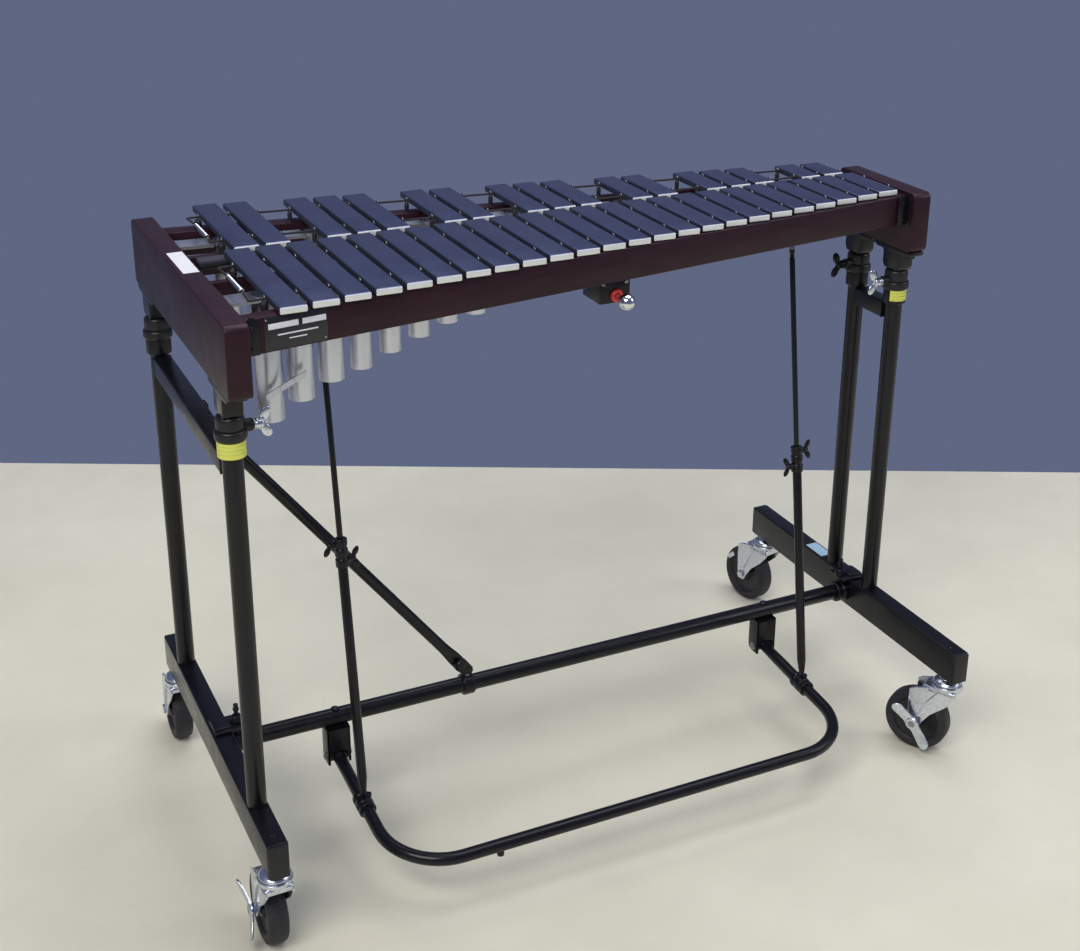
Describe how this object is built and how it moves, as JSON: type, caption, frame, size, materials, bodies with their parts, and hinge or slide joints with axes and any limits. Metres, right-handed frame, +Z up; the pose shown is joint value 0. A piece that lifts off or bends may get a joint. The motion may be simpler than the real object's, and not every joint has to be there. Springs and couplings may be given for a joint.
{
  "type": "vibraphone",
  "caption": "Pedal-damped metal-bar keyboard instrument with tube resonators in a tapered wooden frame on a height-adjustable black stand with swivel casters.",
  "frame": {"origin": "on the floor, midway between the two leg frames and below the stretcher", "axes": "+Z up; +X along the keyboard from the low notes to the high notes; +Y from the player's side to the far side"},
  "size_m": [1.1186, 0.628, 0.859],
  "materials": {
    "black_paint": "satin black powder coat",
    "zinc": "bright zinc plate",
    "wood": "dark red-brown lacquer, semi-gloss",
    "bar_metal": "satin, slightly blue-grey",
    "tube_metal": "satin",
    "rubber": "dark grey",
    "black_plastic": "matt black"
  },
  "bodies": {
    "stand": {"base_beam_left": "black_paint", "upper_crossbar_left": "black_paint", "stretcher_clamp_left": "black_paint", "pedal_hanger_left": "black_paint", "post_left_front": "black_paint", "post_left_rear": "black_paint", "base_beam_right": "black_paint", "upper_crossbar_right": "black_paint", "stretcher_clamp_right": "black_paint", "pedal_hanger_right": "black_paint", "post_right_front": "black_paint", "post_right_rear": "black_paint", "stretcher": "black_paint", "diagonal_brace": "black_paint"},
    "keyboard": {"corner_bracket_left": "black_paint", "end_panel_left": "wood", "inner_tube_left_front": "black_paint", "inner_tube_left_rear": "black_paint", "corner_bracket_right": "black_paint", "end_panel_right": "wood", "inner_tube_right_front": "black_paint", "inner_tube_right_rear": "black_paint", "natural_front_rail": "wood", "natural_rear_rail": "wood", "accidental_front_rail": "wood", "naturals_octave_1": "bar_metal", "accidentals_octave_1": "bar_metal", "naturals_octave_2": "bar_metal", "accidentals_octave_2": "bar_metal", "naturals_octave_3": "bar_metal", "accidentals_octave_3": "bar_metal", "naturals_octave_4": "bar_metal", "accidentals_octave_4": "bar_metal", "natural_resonators": "tube_metal", "accidental_resonators": "tube_metal", "front_rail": "wood", "rear_rail": "wood", "control_box": "black_paint"},
    "damper_bar": {"damper_bar": "black_plastic"},
    "control_knob": {"control_knob": "zinc"},
    "pedal": {"pedal": "black_paint"},
    "push_rod_lower_left": {"push_rod_lower_left": "black_paint"},
    "push_rod_upper_left": {"push_rod_upper_left": "black_paint"},
    "brake_lever_left": {"brake_lever_left": "zinc"},
    "wing_bolt_left_front": {"wing_bolt_left_front": "zinc"},
    "wing_bolt_left_rear": {"wing_bolt_left_rear": "zinc"},
    "push_rod_lower_right": {"push_rod_lower_right": "black_paint"},
    "push_rod_upper_right": {"push_rod_upper_right": "black_paint"},
    "brake_lever_right": {"brake_lever_right": "zinc"},
    "wing_bolt_right_front": {"wing_bolt_right_front": "zinc"},
    "wing_bolt_right_rear": {"wing_bolt_right_rear": "zinc"},
    "caster_fork_front_left": {"caster_fork_front_left": "zinc"},
    "caster_wheel_front_left": {"caster_wheel_front_left": "rubber"},
    "caster_fork_rear_left": {"caster_fork_rear_left": "zinc"},
    "caster_wheel_rear_left": {"caster_wheel_rear_left": "rubber"},
    "caster_fork_front_right": {"caster_fork_front_right": "zinc"},
    "caster_wheel_front_right": {"caster_wheel_front_right": "rubber"},
    "caster_fork_rear_right": {"caster_fork_rear_right": "zinc"},
    "caster_wheel_rear_right": {"caster_wheel_rear_right": "rubber"}
  },
  "joints": [
    {"name": "keyboard_height", "type": "slide", "parent": "stand", "child": "keyboard", "axis": [0, 0, 1], "range_m": [0, 0.09]},
    {"name": "pedal_hinge", "type": "hinge", "parent": "stand", "child": "pedal", "pos_m": [0, -0.003, 0.1], "axis": [1, 0, 0], "range_deg": [0, 3], "stiffness_Nm_per_rad": 60, "springref_deg": -3.44},
    {"name": "damper_drop", "type": "slide", "parent": "keyboard", "child": "damper_bar", "axis": [0, 0, -1], "range_m": [0, 0.0062]},
    {"name": "push_rod_left_drop", "type": "slide", "parent": "stand", "child": "push_rod_lower_left", "axis": [0, -0.1476, -0.989], "range_m": [0, 0.0063]},
    {"name": "push_rod_left_length", "type": "slide", "parent": "push_rod_lower_left", "child": "push_rod_upper_left", "axis": [0, 0.1476, 0.989], "range_m": [0, 0.0912]},
    {"name": "push_rod_right_drop", "type": "slide", "parent": "stand", "child": "push_rod_lower_right", "axis": [0, -0.1476, -0.989], "range_m": [0, 0.0063]},
    {"name": "push_rod_right_length", "type": "slide", "parent": "push_rod_lower_right", "child": "push_rod_upper_right", "axis": [0, 0.1476, 0.989], "range_m": [0, 0.0912]},
    {"name": "wing_bolt_left_front_turn", "type": "hinge", "parent": "stand", "child": "wing_bolt_left_front", "pos_m": [-0.528, -0.187, 0.711], "axis": [1, 0, 0], "continuous": true},
    {"name": "wing_bolt_left_rear_turn", "type": "hinge", "parent": "stand", "child": "wing_bolt_left_rear", "pos_m": [-0.528, 0.194, 0.711], "axis": [0, 1, 0], "continuous": true},
    {"name": "wing_bolt_right_front_turn", "type": "hinge", "parent": "stand", "child": "wing_bolt_right_front", "pos_m": [0.528, -0.047, 0.711], "axis": [-1, 0, 0], "continuous": true},
    {"name": "wing_bolt_right_rear_turn", "type": "hinge", "parent": "stand", "child": "wing_bolt_right_rear", "pos_m": [0.528, 0.049, 0.711], "axis": [-1, 0, 0], "continuous": true},
    {"name": "control_knob_pull", "type": "slide", "parent": "keyboard", "child": "control_knob", "axis": [0, -1, 0], "range_m": [0, 0.01]},
    {"name": "caster_front_left_swivel", "type": "hinge", "parent": "stand", "child": "caster_fork_front_left", "pos_m": [-0.528, -0.255, 0.12], "axis": [0, 0, 1], "continuous": true},
    {"name": "caster_front_left_wheel", "type": "hinge", "parent": "caster_fork_front_left", "child": "caster_wheel_front_left", "pos_m": [-0.528, -0.215, 0.05], "axis": [-1, 0, 0], "continuous": true},
    {"name": "brake_lever_left_turn", "type": "hinge", "parent": "caster_fork_front_left", "child": "brake_lever_left", "pos_m": [-0.528, -0.215, 0.05], "axis": [-1, 0, 0], "range_deg": [-12, 12]},
    {"name": "caster_rear_left_swivel", "type": "hinge", "parent": "stand", "child": "caster_fork_rear_left", "pos_m": [-0.528, 0.255, 0.12], "axis": [0, 0, 1], "continuous": true},
    {"name": "caster_rear_left_wheel", "type": "hinge", "parent": "caster_fork_rear_left", "child": "caster_wheel_rear_left", "pos_m": [-0.5273, 0.29499, 0.05], "axis": [-0.9998, 0.0175, 0], "continuous": true},
    {"name": "caster_front_right_swivel", "type": "hinge", "parent": "stand", "child": "caster_fork_front_right", "pos_m": [0.528, -0.255, 0.12], "axis": [0, 0, 1], "continuous": true},
    {"name": "caster_front_right_wheel", "type": "hinge", "parent": "caster_fork_front_right", "child": "caster_wheel_front_right", "pos_m": [0.5074, -0.22071, 0.05], "axis": [-0.8572, -0.515, 0], "continuous": true},
    {"name": "brake_lever_right_turn", "type": "hinge", "parent": "caster_fork_front_right", "child": "brake_lever_right", "pos_m": [0.5074, -0.22071, 0.05], "axis": [-0.8572, -0.515, 0], "range_deg": [-12, 12]},
    {"name": "caster_rear_right_swivel", "type": "hinge", "parent": "stand", "child": "caster_fork_rear_right", "pos_m": [0.528, 0.255, 0.12], "axis": [0, 0, 1], "continuous": true},
    {"name": "caster_rear_right_wheel", "type": "hinge", "parent": "caster_fork_rear_right", "child": "caster_wheel_rear_right", "pos_m": [0.52105, 0.29439, 0.05], "axis": [-0.9848, -0.1736, 0], "continuous": true}
  ],
  "couplings": [
    {"joint": "damper_drop", "follows": "pedal_hinge", "m_per_rad": 0.114},
    {"joint": "push_rod_left_drop", "follows": "pedal_hinge", "m_per_rad": 0.11526},
    {"joint": "push_rod_left_length", "follows": "keyboard_height", "ratio": 1.0111},
    {"joint": "push_rod_right_drop", "follows": "pedal_hinge", "m_per_rad": 0.11526},
    {"joint": "push_rod_right_length", "follows": "keyboard_height", "ratio": 1.0111}
  ]
}
